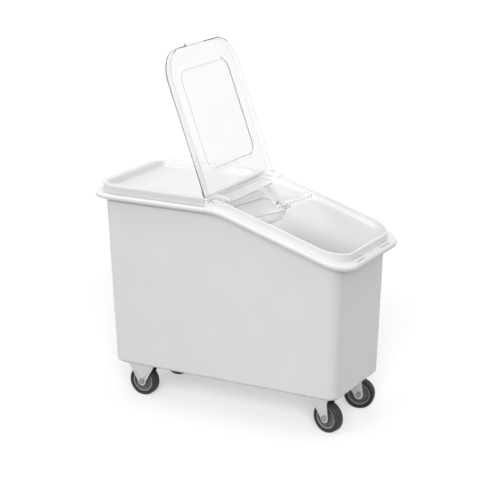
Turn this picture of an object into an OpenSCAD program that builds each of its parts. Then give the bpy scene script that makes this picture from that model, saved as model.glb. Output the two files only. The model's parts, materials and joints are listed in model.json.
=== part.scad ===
// Rolling flour bin with a slant top, a hinged clear lid and four casters.
// Millimetres. +X points to the low front end, +Z up, origin on the floor under the middle.

/* [Bin] */
// Overall length over the rim flange
bin_length = 740; // [640:1:900]
// Overall width over the rim flange
bin_width = 356; // [300:1:460]
// Height of the level part of the rim flange above the floor
flange_height = 564; // [480:1:700]
// Height of the bin's underside above the floor
base_height = 97; // [97:1:120]
// Downward slope of the front part of the rim, in degrees
slope_angle = 17.3; // [12:0.1:24]
// Place along the length where the level and sloped rims would meet
bend_x = 14; // [-40:1:60]
// Radius of the rim's bend from level to slope
bend_radius = 200; // [120:5:300]
// How far the side walls draw in from the rim down to the base
wall_draft = 19; // [8:1:30]
// Thickness of the bin's walls
wall = 4; // [3:0.5:6]
// Thickness of the bin's floor
floor_thickness = 5; // [4:0.5:8]
// Plan radius of the bin's corners at the wall
corner_radius = 48; // [40:1:60]
// Outside rounding between wall and underside
base_rounding = 8; // [4:1:14]

/* [Rim] */
// Overhang of the flange beyond the wall
flange_overhang = 25; // [20:1:32]
// Height of the turned-down edge of the flange
flange_drop = 12; // [9:0.5:18]
// Height of the upstanding collar above the flange
collar_height = 20.5; // [16:0.5:26]
// Inset of the collar's outer face from the flange edge
collar_inset = 17; // [14:0.5:20]
// Thickness of the collar
collar_thickness = 5; // [4:0.5:7]
// Plan radius of the collar's corners
collar_radius = 68; // [50:1:72]
// Length of each low lug at the foot of the front collar
lug_length = 48; // [30:1:60]
// Distance of each lug's middle from the bin's centre line
lug_place = 74; // [60:1:90]
// Height of the lugs above the flange
lug_height = 4; // [2:0.5:5]
// Width of the lugs across the flange
lug_width = 9; // [6:0.5:11]

/* [Rear cover] */
// Thickness of the covers and of the hinge strip
cover_thickness = 3; // [2.5:0.5:4]
// Depth of the rear cover's recessed panel below its border
recess_depth = 18; // [10:1:22]
// Width of the rear cover's flat border inside the collar line
border_width = 16; // [14:1:24]
// How far the recess walls draw in towards the panel
recess_draft = 5; // [2:1:8]
// Depth of the rear cover's skirt
cover_skirt = 23; // [10:0.5:23]
// Place of the rear cover's front edge behind the hinge line
cover_front_gap = 20; // [18:1:24]

/* [Hinge strip] */
// Place of the lid's hinge line along the length
hinge_x = -7; // [-12:1:0]
// Place of the strip's front edge along the length
strip_front_x = 28; // [15:1:40]
// Depth of the strip's tray below its end flanges
tray_depth = 8; // [6:0.5:10]
// Width of the strip's flanges at both ends
strip_flange = 38; // [30:1:50]
// Diameter of the hinge pins
pin_diameter = 5; // [3:0.5:6]

/* [Front lid] */
// Angle of the open lid from the forward horizontal, in degrees
lid_open_angle = 109.7; // [100:0.1:118]
// Depth of the lid's skirt
lid_skirt = 18; // [14:0.5:19]
// Depth by which the lid's panel stands in from its border
panel_depth = 9; // [5:0.5:11]
// Width of the slope round the lid's panel
panel_slope = 12; // [6:1:16]
// Width of the lid's flat border beside its panel
lid_border = 40; // [34:1:55]
// Width of the finger tab on the lid's free edge
tab_width = 82; // [50:1:110]
// How far the finger tab stands out from the lid's free edge
tab_reach = 6; // [4:0.5:7]

/* [Scoop] */
// Length of the scoop's bowl
bowl_length = 150; // [110:1:165]
// Outside width of the scoop's bowl
bowl_width = 78; // [64:1:80]
// Thickness of the scoop's wall
scoop_wall = 2.5; // [2:0.5:3.5]
// Length of the scoop's handle
handle_length = 118; // [90:1:125]
// Width of the scoop's handle
handle_width = 22; // [20:1:40]
// Depth of the handle's side flanges
handle_depth = 10; // [8:0.5:14]
// Place of the scoop's neck along the length
neck_x = 90; // [84:1:100]
// Place of the scoop's neck across the width
neck_y = 28; // [10:1:34]
// Depth of the handle's top below the collar's edge at the neck
neck_depth = 17; // [15:0.5:24]
// Turn of the handle from the forward direction, in degrees
scoop_turn = 80; // [76:1:90]

/* [Casters] */
// Diameter of the wheels
wheel_diameter = 80; // [75:1:80]
// Width of the tyres
tyre_width = 25; // [20:1:28]
// Diameter of the wheel core where the tyre sits
core_diameter = 60; // [50:1:64]
// Distance of the rear wheels from the middle of the bin
rear_axle_x = 259; // [230:1:270]
// Distance of the front swivels from the middle of the bin
swivel_x = 261; // [230:1:270]
// Distance of the casters from the bin's centre line
caster_y = 87; // [80:1:92]
// Trail of the front wheels behind their swivels
trail = 28; // [20:1:32]
// Turn of the near front caster as it stands, in degrees
near_swivel_angle = -13; // [-60:1:60]
// Turn of the far front caster as it stands, in degrees
far_swivel_angle = 15; // [-60:1:60]
// Thickness of the caster's pressed steel
steel = 2.5; // [2:0.5:3]
// Diameter of the axle bolts
axle_diameter = 8; // [6:0.5:10]
// Diameter of the bolts that hold the casters
bolt_diameter = 6; // [5:0.5:7]
// Diameter of the balls in the swivel bearings
ball_diameter = 5; // [4:0.5:5]

/* [Hidden] */
$fn = 64;

// Clearances
seat_gap = 0.3;
running_fit = 0.05;
bolt_clearance = 0.3;
side_gap = 1.5;
overlap = 1;

// Rim line: the flange's top surface along the length
slope_tan = tan(slope_angle);
bend_tangent = bend_radius * tan(slope_angle / 2);
bend_start = bend_x - bend_tangent;
bend_end = bend_x + bend_tangent * cos(slope_angle);
bend_steps = 6;
function rim_z(x) =
    x < bend_start ? flange_height :
    x < bend_end ? flange_height - bend_radius + sqrt(pow(bend_radius, 2) - pow(x - bend_start, 2)) :
    flange_height - (x - bend_x) * slope_tan;
bend_points = [for (i = [0 : bend_steps]) bend_start + (bend_end - bend_start) * i / bend_steps];

// Plan outline: a rounded rectangle whose long sides carry the bend's points
corner_steps = 8;
outline_count = 4 * (corner_steps + 1) + 2 * len(bend_points);
function reversed(list) = [for (i = [len(list) - 1 : -1 : 0]) list[i]];
function corner(x, y, radius, turn) =
    [for (i = [0 : corner_steps])
        let (a = turn + 90 * i / corner_steps)
        [x + radius * cos(a), y + radius * sin(a)]];
function outline(half_length, half_width, radius) =
    let (x = half_length - radius, y = half_width - radius)
    concat(
        corner(x, y, radius, 0),
        [for (p = reversed(bend_points)) [p, half_width]],
        corner(-x, y, radius, 90),
        corner(-x, -y, radius, 180),
        [for (p = bend_points) [p, -half_width]],
        corner(x, -y, radius, 270));

// Wall: half sizes at a height, from the base up to the rim
half_length = bin_length / 2;
half_width = bin_width / 2;
rim_half_length = half_length - flange_overhang;
rim_half_width = half_width - flange_overhang;
flange_corner_ease = 8;
flange_radius = corner_radius + flange_overhang - flange_corner_ease;
function wall_inset(z) = wall_draft * (flange_height - z) / (flange_height - base_height);
least_radius = 6;
function wall_outline(z, inset) =
    let (draw = wall_inset(z) + inset)
    outline(rim_half_length - draw, rim_half_width - draw, max(corner_radius - draw, least_radius));

// Rings of the bin's skin: level rings stand at a height, rim rings follow the rim line
function level_ring(z, inset) = [for (p = wall_outline(z, inset)) [p[0], p[1], z]];
function rim_ring(inset, lift) =
    [for (p = outline(half_length - inset, half_width - inset, flange_radius - inset))
        [p[0], p[1], rim_z(p[0]) + lift]];
function collar_ring(inset, lift) =
    let (grow = inset - collar_inset)
    [for (p = outline(half_length - inset, half_width - inset, collar_radius - grow))
        [p[0], p[1], rim_z(p[0]) + lift]];
function wall_ring(inset, lift) =
    let (first = outline(rim_half_length - inset, rim_half_width - inset, corner_radius - inset))
    [for (i = [0 : outline_count - 1])
        let (
            z = rim_z(first[i][0]) + lift,
            p = wall_outline(z, inset)[i])
        [p[0], p[1], rim_z(p[0]) + lift]];
function round_rings(z, radius, inset, count) =
    [for (i = [0 : count])
        let (a = 90 * i / count)
        level_ring(z + radius * (1 - cos(a)), inset + radius * (1 - sin(a)))];

module skin(rings) {
    n = outline_count;
    last = len(rings) - 1;
    polyhedron(
        points = [for (ring = rings) each ring],
        faces = concat(
            [[for (i = [0 : n - 1]) i]],
            [for (k = [0 : last - 1], i = [0 : n - 1]) each
                let (
                    j = (i + 1) % n,
                    low = k * n,
                    high = low + n)
                [[low + i, high + i, high + j], [low + i, high + j, low + j]]],
            [[for (i = [n - 1 : -1 : 0]) last * n + i]]));
}

// Collar and flange sections
collar_inner = collar_inset + collar_thickness;
arc_middle = 1 - cos(45);
edge_round = 4;
top_round = 1.5;
lip = 4;
wall_fillet = 6;
inner_rounding = 6;
collar_half_length = half_length - collar_inset;
collar_half_width = half_width - collar_inset;
collar_top = flange_height + collar_height;

// Caster places
wheel_radius = wheel_diameter / 2;
plate_length = 86;
plate_width = 66;
plate_radius = 6;
bolt_pitch_x = 66;
bolt_pitch_y = 49;
bolt_head_diameter = 14;
bolt_crown_diameter = 10;
bolt_head_height = 2.5;
nut_across = 10;
nut_height = 4.5;
caster_places = [[-rear_axle_x, -1], [-rear_axle_x, 1], [swivel_x, -1], [swivel_x, 1]];

module at_caster_bolts() {
    for (place = caster_places, i = [-1, 1], j = [-1, 1])
        translate([place[0] + i * bolt_pitch_x / 2, place[1] * caster_y + j * bolt_pitch_y / 2, 0])
            children();
}

module front_lugs() {
    root = collar_half_length - overlap;
    tip = collar_half_length + lug_width;
    for (side = [-1, 1])
        along_y(side * lug_place - lug_length / 2, side * lug_place + lug_length / 2)
            polygon([
                [root, rim_z(root) - lip + overlap],
                [tip, rim_z(tip) - lip + overlap],
                [tip, rim_z(tip) + lug_height],
                [root, rim_z(root) + lug_height]]);
}

module bin_body() {
    color("whitesmoke") difference() {
        union() {
            skin(concat(
                round_rings(base_height, base_rounding, 0, 4),
                [wall_ring(0, -flange_drop - wall_fillet),
                    wall_ring(-wall_fillet * arc_middle, -flange_drop + wall_fillet * arc_middle),
                    rim_ring(flange_overhang - wall_fillet, -lip),
                    rim_ring(lip, -lip),
                    rim_ring(lip, -flange_drop),
                    rim_ring(0, -flange_drop),
                    rim_ring(0, -edge_round),
                    rim_ring(edge_round * arc_middle, -edge_round * arc_middle),
                    rim_ring(edge_round, 0),
                    collar_ring(collar_inset, 0),
                    collar_ring(collar_inset, collar_height - top_round),
                    collar_ring(collar_inset + top_round, collar_height),
                    collar_ring(collar_inner - top_round, collar_height),
                    collar_ring(collar_inner, collar_height - top_round),
                    collar_ring(collar_inner, 0),
                    wall_ring(wall, -wall)],
                reversed(round_rings(base_height + floor_thickness, inner_rounding, wall, 5))));
            front_lugs();
        }
        at_caster_bolts()
            translate([0, 0, base_height - overlap])
                cylinder(d = bolt_diameter + 2 * bolt_clearance, h = floor_thickness + 2 * overlap);
    }
}

// Plan shapes with true arcs
module rounded_plate(half_x, half_y, radius) {
    square([2 * (half_x - radius), 2 * half_y], center = true);
    square([2 * half_x, 2 * (half_y - radius)], center = true);
    for (i = [-1, 1], j = [-1, 1])
        translate([i * (half_x - radius), j * (half_y - radius)]) circle(radius);
}

module collar_plate(grow) {
    rounded_plate(collar_half_length + grow, collar_half_width + grow, collar_radius + grow);
}

module along_y(from, to) {
    translate([0, to, 0]) rotate([90, 0, 0]) linear_extrude(to - from) children();
}

// Rear cover
lap = 9;
cover_base = collar_top + seat_gap;
cover_top = cover_base + cover_thickness;
cover_grow = side_gap + cover_thickness;
cover_front = hinge_x - cover_front_gap;
recess_rear = -(collar_half_length - border_width);
recess_front = cover_front - lap - 2 * cover_thickness;
recess_half_width = collar_half_width - border_width;
recess_radius = 34;
slice = 0.01;
slice_sides = 48;

module behind_cover_front() {
    translate([cover_front - bin_length, -bin_width / 2]) square([bin_length, bin_width]);
}

module recess_slice(grow) {
    half = (recess_front - recess_rear) / 2;
    translate([(recess_rear + recess_front) / 2, 0])
        rounded_plate(half + grow, recess_half_width + grow, recess_radius + grow, $fn = slice_sides);
}

module recess_form(grow, top, bottom) {
    hull() {
        translate([0, 0, top - slice]) linear_extrude(slice) recess_slice(grow);
        translate([0, 0, bottom]) linear_extrude(slice) recess_slice(grow - recess_draft);
    }
}

module cover_plan() {
    intersection() {
        collar_plate(cover_grow);
        behind_cover_front();
    }
}

module rear_cover() {
    half_plate = cover_thickness / 2;
    panel_base = cover_top - recess_depth;
    color("white") difference() {
        union() {
            translate([0, 0, cover_base]) linear_extrude(cover_thickness) cover_plan();
            translate([0, 0, cover_top - cover_skirt]) linear_extrude(cover_skirt - half_plate)
                difference() {
                    cover_plan();
                    collar_plate(side_gap);
                }
            recess_form(cover_thickness, cover_top - half_plate, panel_base - cover_thickness);
        }
        recess_form(0, cover_top + overlap, panel_base);
    }
}

// Hinge line at the sides of the collar
pivot_drop = 1.5;
hinge_z = collar_top - pivot_drop;
slope_plane_z = collar_top + (bend_x - hinge_x) * slope_tan;
plate_gap = (slope_plane_z - hinge_z) * cos(slope_angle) + cover_thickness + 2 * seat_gap;
tab_inner = collar_half_width + side_gap;
tab_outer = tab_inner + cover_thickness;
lid_side_gap = 0.5;
lid_inner_width = tab_outer + lid_side_gap;
lid_half_width = lid_inner_width + cover_thickness;
pin_head = 9;
pin_head_height = 1.5;
tab_radius = 8;

// Hinge strip
tray_half_width = collar_half_width - strip_flange;
strip_rear = cover_front + seat_gap;
strip_steps = 10;
function seat_z(x) = rim_z(x) + collar_height + seat_gap;
function strip_line(from, lift) =
    [for (i = [0 : strip_steps])
        let (x = from + (strip_front_x - from) * i / strip_steps)
        [x, seat_z(x) + lift]];

module strip_band(from, low, high) {
    polygon(concat(strip_line(from, high), reversed(strip_line(from, low))));
}

module strip_tab() {
    tab_top = seat_z(hinge_x) + cover_thickness;
    translate([hinge_x, hinge_z]) circle(tab_radius);
    translate([hinge_x - tab_radius, hinge_z]) square([2 * tab_radius, tab_top - hinge_z]);
}

// Scoop rest moulded on the strip
cradle_length = 22;
cradle_start = 4;
cradle_wall = 3;
cradle_gap = 0.4;
cheek_height = 7;
arm_width = 18;
arm_thickness = 4;
handle_tilt = 4;

module at_scoop() {
    translate([neck_x, neck_y, rim_z(neck_x) + collar_height - neck_depth])
        rotate([0, slope_angle, 0]) rotate([0, 0, scoop_turn]) children();
}

module cradle() {
    base_z = -handle_depth - cradle_gap - cradle_wall;
    inner = handle_width + 2 * cradle_gap;
    outer = inner + 2 * cradle_wall;
    at_scoop() rotate([0, -handle_tilt, 0]) {
        translate([cradle_start, -outer / 2, base_z]) cube([cradle_length, outer, cradle_wall]);
        for (place = [-outer / 2, inner / 2])
            translate([cradle_start, place, base_z])
                cube([cradle_length, cradle_wall, cradle_wall + cheek_height]);
    }
}

module cradle_arm() {
    arm_start = neck_y + cradle_start + overlap;
    arm_end = neck_x - handle_width / 2 + cradle_wall;
    arm_knee = arm_end - 4 * cradle_wall;
    arm_root = strip_front_x - 2 * cradle_wall;
    arm_floor = seat_z(arm_end) - neck_depth - handle_depth - cradle_gap - cradle_wall;
    line = [
        [arm_root, seat_z(arm_root) - tray_depth + overlap],
        [strip_front_x, seat_z(strip_front_x) - tray_depth + overlap],
        [arm_knee, arm_floor],
        [arm_end, arm_floor]];
    along_y(arm_start, arm_start + arm_width)
        polygon(concat(line, [for (p = reversed(line)) [p[0], p[1] - arm_thickness]]));
}

module strip_end(side) {
    flange_middle = side * (tray_half_width + collar_half_width - cover_thickness) / 2;
    flange_half = (strip_flange + cover_thickness) / 2;
    step_middle = side * (tray_half_width - cover_thickness / 2);
    tab_middle = side * (tab_inner + tab_outer) / 2;
    bridge_middle = side * (collar_half_width + tab_outer) / 2;
    bridge_width = tab_outer - collar_half_width + overlap;
    half_plate = cover_thickness / 2;
    along_y(flange_middle - flange_half, flange_middle + flange_half)
        strip_band(strip_rear, 0, cover_thickness);
    along_y(step_middle - half_plate, step_middle + half_plate)
        strip_band(strip_rear, -tray_depth, cover_thickness);
    along_y(tab_middle - half_plate, tab_middle + half_plate) strip_tab();
    translate([hinge_x, bridge_middle, seat_z(hinge_x) + half_plate])
        cube([2 * tab_radius, bridge_width, cover_thickness], center = true);
}

module strip_tongue() {
    translate([cover_front - lap, -tray_half_width, cover_base - cover_thickness])
        cube([lap + 2 * cover_thickness, 2 * tray_half_width, cover_thickness]);
}

module hinge_strip() {
    color([0.85, 0.9, 0.92, 0.5]) difference() {
        union() {
            along_y(-tray_half_width, tray_half_width)
                strip_band(strip_rear, -tray_depth, cover_thickness - tray_depth);
            for (side = [-1, 1]) strip_end(side);
            translate([strip_rear, -tray_half_width, cover_base - tray_depth])
                cube([cover_thickness, 2 * tray_half_width, tray_depth + cover_thickness]);
            strip_tongue();
            cradle();
            cradle_arm();
        }
        for (side = [-1, 1])
            translate([hinge_x, side * (tab_inner + tab_outer) / 2, hinge_z]) rotate([90, 0, 0])
                cylinder(d = pin_diameter + 2 * running_fit, h = 3 * cover_thickness, center = true);
    }
}

module hinge_pins() {
    pin_start = tab_inner + seat_gap;
    pin_end = lid_half_width + seat_gap;
    color("lightsteelblue") for (side = [-1, 1])
        translate([hinge_x, side * pin_start, hinge_z]) rotate([-90 * side, 0, 0]) {
            cylinder(d = pin_diameter, h = pin_end - pin_start + overlap / 2);
            translate([0, 0, pin_end - pin_start]) cylinder(d = pin_head, h = pin_head_height);
        }
}

// Front lid, drawn with the hinge line at its origin, its length along X and its outside up
front_skirt_drop = plate_gap - (lid_skirt - cover_thickness);
front_reach = collar_half_length + side_gap - hinge_x;
lid_front_inner = (front_reach - front_skirt_drop * sin(slope_angle)) / cos(slope_angle);
lid_front = lid_front_inner + cover_thickness;
lid_outside = plate_gap + cover_thickness;
foot_rise = cover_top + seat_gap - hinge_z;
lid_foot = (foot_rise - lid_outside * cos(lid_open_angle)) / sin(lid_open_angle);
lid_corner_ease = 2;
lid_radius = collar_radius + cover_grow + lid_side_gap + cover_thickness + lid_corner_ease;
panel_end_border = 47;
panel_front = lid_front - panel_end_border;
panel_rear = lid_foot + panel_end_border;
panel_half_width = lid_half_width - lid_border;
panel_radius = 40;
lid_ear_radius = 6.5;

module lid_plan(inset) {
    length = lid_front - inset - lid_foot;
    radius = lid_radius - inset;
    width = 2 * (lid_half_width - inset);
    translate([lid_foot, -width / 2]) square([length - radius, width]);
    translate([lid_foot, -width / 2 + radius]) square([length, width - 2 * radius]);
    for (side = [-1, 1])
        translate([lid_foot + length - radius, side * (width / 2 - radius)]) circle(radius);
}

module panel_slice(grow) {
    half = (panel_front - panel_rear) / 2;
    translate([(panel_front + panel_rear) / 2, 0])
        rounded_plate(half + grow, panel_half_width + grow, panel_radius + grow, $fn = slice_sides);
}

module panel_form(grow, top, bottom) {
    hull() {
        translate([0, 0, top - slice]) linear_extrude(slice) panel_slice(grow);
        translate([0, 0, bottom]) linear_extrude(slice) panel_slice(grow - panel_slope);
    }
}

module lid_tab() {
    root = lid_front - tab_reach;
    translate([root, -tab_width / 2 + tab_reach]) square([2 * tab_reach, tab_width - 2 * tab_reach]);
    translate([root, -tab_width / 2]) square([tab_reach, tab_width]);
    for (side = [-1, 1])
        translate([lid_front, side * (tab_width / 2 - tab_reach)]) circle(tab_reach);
}

module lid_ear() {
    ear_end = lid_foot + 2 * tab_radius;
    circle(lid_ear_radius);
    polygon([
        [0, lid_ear_radius],
        [lid_foot, lid_outside],
        [ear_end, lid_outside],
        [ear_end, lid_outside - lid_skirt],
        [0, -lid_ear_radius]]);
}

module lid_skirt_plan() {
    difference() {
        lid_plan(0);
        translate([-overlap, 0]) lid_plan(cover_thickness);
        translate([lid_foot - overlap, -lid_inner_width]) square([lid_radius, 2 * lid_inner_width]);
    }
}

module lid_form() {
    half_plate = cover_thickness / 2;
    difference() {
        union() {
            translate([0, 0, plate_gap]) linear_extrude(cover_thickness) {
                lid_plan(0);
                lid_tab();
            }
            translate([0, 0, lid_outside - lid_skirt])
                linear_extrude(lid_skirt - half_plate) lid_skirt_plan();
            panel_form(cover_thickness, plate_gap + half_plate, plate_gap - panel_depth);
            for (side = [-1, 1])
                translate([0, side * (lid_inner_width + half_plate), 0])
                    along_y(-half_plate, half_plate) lid_ear();
        }
        panel_form(0, lid_outside + overlap, lid_outside - panel_depth);
        rotate([90, 0, 0]) cylinder(d = pin_diameter + 2 * running_fit, h = bin_width, center = true);
    }
}

module front_lid() {
    color([0.85, 0.9, 0.92, 0.4])
        translate([hinge_x, 0, hinge_z]) rotate([0, -lid_open_angle, 0]) lid_form();
}

// Scoop, drawn with its neck at the origin and its handle along X
bowl_depth = 50;
lip_width = 68;
lip_slice = 0.5;
lip_rake = 35;
back_radius = bowl_width / 2;
bowl_sink = 8;
bowl_sides = 28;

module bowl_form(inset) {
    hull() {
        translate([-back_radius, 0, -bowl_sink])
            scale((back_radius - inset) / back_radius) sphere(back_radius, $fn = bowl_sides);
        translate([-bowl_length, 0, -bowl_sink]) rotate([0, 90, 0])
            cylinder(r = lip_width / 2 - inset, h = lip_slice, $fn = bowl_sides);
    }
}

module handle_section() {
    difference() {
        translate([-handle_width / 2, -handle_depth]) square([handle_width, handle_depth]);
        translate([-handle_width / 2 + scoop_wall, -handle_depth - overlap])
            square([handle_width - 2 * scoop_wall, handle_depth - scoop_wall + overlap]);
    }
}

module scoop() {
    cutter = 400;
    color([0.85, 0.9, 0.92, 0.5]) at_scoop() {
        difference() {
            bowl_form(0);
            bowl_form(scoop_wall);
            translate([-cutter / 2, -cutter / 2, 0]) cube(cutter);
            translate([-bowl_length, 0, -bowl_depth]) rotate([0, -lip_rake, 0])
                translate([-cutter, -cutter / 2, -cutter / 2]) cube(cutter);
        }
        rotate([0, -handle_tilt, 0]) {
            translate([-scoop_wall, 0, 0]) rotate([90, 0, 90])
                linear_extrude(handle_length + scoop_wall) handle_section();
            translate([handle_length - scoop_wall, -handle_width / 2, -handle_depth])
                cube([scoop_wall, handle_width, handle_depth]);
        }
    }
}

// Caster fasteners
module caster_bolts() {
    head_z = base_height + floor_thickness;
    bolt_end = base_height - steel - nut_height;
    color("silver") at_caster_bolts() {
        translate([0, 0, head_z])
            cylinder(d1 = bolt_head_diameter, d2 = bolt_crown_diameter, h = bolt_head_height);
        translate([0, 0, bolt_end]) cylinder(d = bolt_diameter, h = head_z - bolt_end + overlap / 2);
    }
}

module caster_nuts() {
    color("silver") at_caster_bolts()
        translate([0, 0, base_height - steel - nut_height]) difference() {
            cylinder(d = nut_across / cos(30), h = nut_height, $fn = 6);
            translate([0, 0, -overlap])
                cylinder(d = bolt_diameter + 2 * running_fit, h = nut_height + 2 * overlap);
        }
}

// Caster parts, drawn at the caster's middle with the wheel's heading along X
tyre_clearance = 2;
fork_gap = tyre_width + 2 * tyre_clearance;
leg_outer = fork_gap / 2 + steel;
leg_radius = 12;
axle_z = wheel_radius;
hub_wall = 1.5;
sleeve_diameter = axle_diameter + 2 * hub_wall;
head_across = 13;
head_height = 5;
thread_end = 2;

module plate_with_holes() {
    translate([0, 0, base_height - steel]) linear_extrude(steel) difference() {
        rounded_plate(plate_length / 2, plate_width / 2, plate_radius);
        for (i = [-1, 1], j = [-1, 1])
            translate([i * bolt_pitch_x / 2, j * bolt_pitch_y / 2])
                circle(d = bolt_diameter + 2 * bolt_clearance);
    }
}

module leg_pair(axle_x) {
    for (side = [-1, 1])
        translate([0, side * (leg_outer - steel / 2), 0]) difference() {
            along_y(-steel / 2, steel / 2) children();
            translate([axle_x, 0, axle_z]) rotate([90, 0, 0])
                cylinder(d = axle_diameter + 2 * bolt_clearance, h = 3 * steel, center = true);
        }
}

module fixed_leg() {
    leg_top = plate_length / 2;
    top_z = base_height - steel / 2;
    translate([0, axle_z]) circle(leg_radius);
    polygon([[-leg_radius, axle_z], [leg_radius, axle_z], [leg_top, top_z], [-leg_top, top_z]]);
}

module fixed_fork() {
    color("lightgray") {
        plate_with_holes();
        leg_pair(0) fixed_leg();
    }
}

ball_gap = 0.15;
crown_top = base_height - steel - ball_diameter - 2 * ball_gap;
crown_bottom = crown_top - steel;
race_radius = 17;
ball_count = 12;
cup_radius = 24;
cup_height = 3.5;
kingpin_diameter = 12;
kingpin_head = 18;
kingpin_head_height = 3;
leg_back = 18;
leg_front = 7;

module swivel_leg() {
    translate([trail, axle_z]) circle(leg_radius);
    polygon([[trail - leg_radius, axle_z], [trail + leg_radius, axle_z],
        [trail + leg_front, crown_bottom + steel / 2], [-leg_back, crown_bottom + steel / 2]]);
}

module swivel_fork() {
    color("lightgray") {
        difference() {
            translate([0, 0, crown_bottom]) linear_extrude(steel) {
                circle(cup_radius);
                translate([-leg_back, -leg_outer]) square([leg_back + trail + leg_front, 2 * leg_outer]);
            }
            translate([0, 0, crown_bottom - overlap])
                cylinder(d = kingpin_diameter + 2 * running_fit, h = steel + 2 * overlap);
        }
        translate([0, 0, crown_top - steel / 2]) linear_extrude(cup_height) difference() {
            circle(cup_radius);
            circle(cup_radius - steel);
        }
        leg_pair(trail) swivel_leg();
    }
}

module swivel_plate() {
    color("lightgray") difference() {
        plate_with_holes();
        cylinder(d = kingpin_diameter + 2 * running_fit, h = base_height + overlap);
    }
}

module swivel_kingpin() {
    head_top = crown_bottom - seat_gap;
    color("silver") {
        translate([0, 0, head_top - kingpin_head_height])
            cylinder(d = kingpin_head, h = kingpin_head_height);
        translate([0, 0, head_top - overlap / 2])
            cylinder(d = kingpin_diameter, h = base_height - head_top);
    }
}

module swivel_balls() {
    color("silver") for (i = [0 : ball_count - 1])
        rotate([0, 0, 360 * i / ball_count])
            translate([race_radius, 0, crown_top + ball_gap + ball_diameter / 2])
                sphere(d = ball_diameter, $fn = 32);
}

module at_axle(axle_x) {
    translate([axle_x, 0, axle_z]) rotate([90, 0, 0]) children();
}

module axle_bolt(axle_x) {
    bolt_length = 2 * leg_outer + head_height + thread_end;
    color("silver") at_axle(axle_x) {
        translate([0, 0, leg_outer]) cylinder(d = head_across / cos(30), h = head_height, $fn = 6);
        translate([0, 0, leg_outer - bolt_length + overlap / 2])
            cylinder(d = axle_diameter, h = bolt_length);
    }
}

module axle_nut(axle_x) {
    color("silver") at_axle(axle_x) translate([0, 0, -leg_outer - head_height]) difference() {
        cylinder(d = head_across / cos(30), h = head_height, $fn = 6);
        translate([0, 0, -overlap])
            cylinder(d = axle_diameter + 2 * running_fit, h = head_height + 2 * overlap);
    }
}

module axle_sleeve(axle_x) {
    color("silver") at_axle(axle_x) difference() {
        cylinder(d = sleeve_diameter, h = fork_gap, center = true);
        cylinder(d = axle_diameter + 2 * running_fit, h = fork_gap + 2 * overlap, center = true);
    }
}

module core_section() {
    bore = sleeve_diameter / 2 + running_fit;
    hub = 11;
    hub_side_gap = 1;
    hub_width = fork_gap - 2 * hub_side_gap;
    rim = core_diameter / 2 - running_fit;
    rim_depth = 4;
    rim_inset = 1.5;
    rim_width = tyre_width - 2 * rim_inset;
    web = 9;
    web_waist = 5;
    translate([bore, -hub_width / 2]) square([hub - bore, hub_width]);
    polygon([
        [hub - overlap, -web / 2],
        [rim - rim_depth + overlap, -web_waist / 2],
        [rim - rim_depth + overlap, web_waist / 2],
        [hub - overlap, web / 2]]);
    translate([rim - rim_depth, -rim_width / 2]) square([rim_depth, rim_width]);
}

module wheel_core(axle_x) {
    color("dimgray") at_axle(axle_x) rotate_extrude() core_section();
}

module tyre_section() {
    seat = core_diameter / 2;
    shoulder = 5;
    translate([seat, -tyre_width / 2 + shoulder])
        square([wheel_radius - seat, tyre_width - 2 * shoulder]);
    translate([seat, -tyre_width / 2]) square([wheel_radius - seat - shoulder, tyre_width]);
    for (side = [-1, 1])
        translate([wheel_radius - shoulder, side * (tyre_width / 2 - shoulder)]) circle(shoulder);
}

module tyre(axle_x) {
    color([0.18, 0.18, 0.19]) at_axle(axle_x) rotate_extrude() tyre_section();
}

module at_rear(side) {
    translate([-rear_axle_x, side * caster_y, 0]) children();
}

module at_front(side) {
    translate([swivel_x, side * caster_y, 0]) children();
}

module at_swivel(side) {
    at_front(side) rotate([0, 0, side < 0 ? near_swivel_angle : far_swivel_angle]) children();
}

bin_body();
rear_cover();
hinge_strip();
hinge_pins();
front_lid();
scoop();
caster_bolts();
caster_nuts();
at_rear(-1) fixed_fork();  // rear_near_fork
at_rear(-1) axle_bolt(0);  // rear_near_axle_bolt
at_rear(-1) axle_nut(0);  // rear_near_axle_nut
at_rear(-1) axle_sleeve(0);  // rear_near_axle_sleeve
at_rear(-1) wheel_core(0);  // rear_near_wheel_core
at_rear(-1) tyre(0);  // rear_near_tyre
at_rear(1) fixed_fork();  // rear_far_fork
at_rear(1) axle_bolt(0);  // rear_far_axle_bolt
at_rear(1) axle_nut(0);  // rear_far_axle_nut
at_rear(1) axle_sleeve(0);  // rear_far_axle_sleeve
at_rear(1) wheel_core(0);  // rear_far_wheel_core
at_rear(1) tyre(0);  // rear_far_tyre
at_front(-1) swivel_plate();  // front_near_top_plate
at_front(-1) swivel_kingpin();  // front_near_kingpin
at_front(-1) swivel_balls();  // front_near_balls
at_swivel(-1) swivel_fork();  // front_near_fork
at_swivel(-1) axle_bolt(trail);  // front_near_axle_bolt
at_swivel(-1) axle_nut(trail);  // front_near_axle_nut
at_swivel(-1) axle_sleeve(trail);  // front_near_axle_sleeve
at_swivel(-1) wheel_core(trail);  // front_near_wheel_core
at_swivel(-1) tyre(trail);  // front_near_tyre
at_front(1) swivel_plate();  // front_far_top_plate
at_front(1) swivel_kingpin();  // front_far_kingpin
at_front(1) swivel_balls();  // front_far_balls
at_swivel(1) swivel_fork();  // front_far_fork
at_swivel(1) axle_bolt(trail);  // front_far_axle_bolt
at_swivel(1) axle_nut(trail);  // front_far_axle_nut
at_swivel(1) axle_sleeve(trail);  // front_far_axle_sleeve
at_swivel(1) wheel_core(trail);  // front_far_wheel_core
at_swivel(1) tyre(trail);  // front_far_tyre
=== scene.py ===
"""Looks of the rolling flour bin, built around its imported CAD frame.

Lengths are in metres, +Z is up, +X points to the low front end and -Y to the near side.
"""

import json
import math

import bmesh
import bpy
from mathutils import Matrix, Vector


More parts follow.
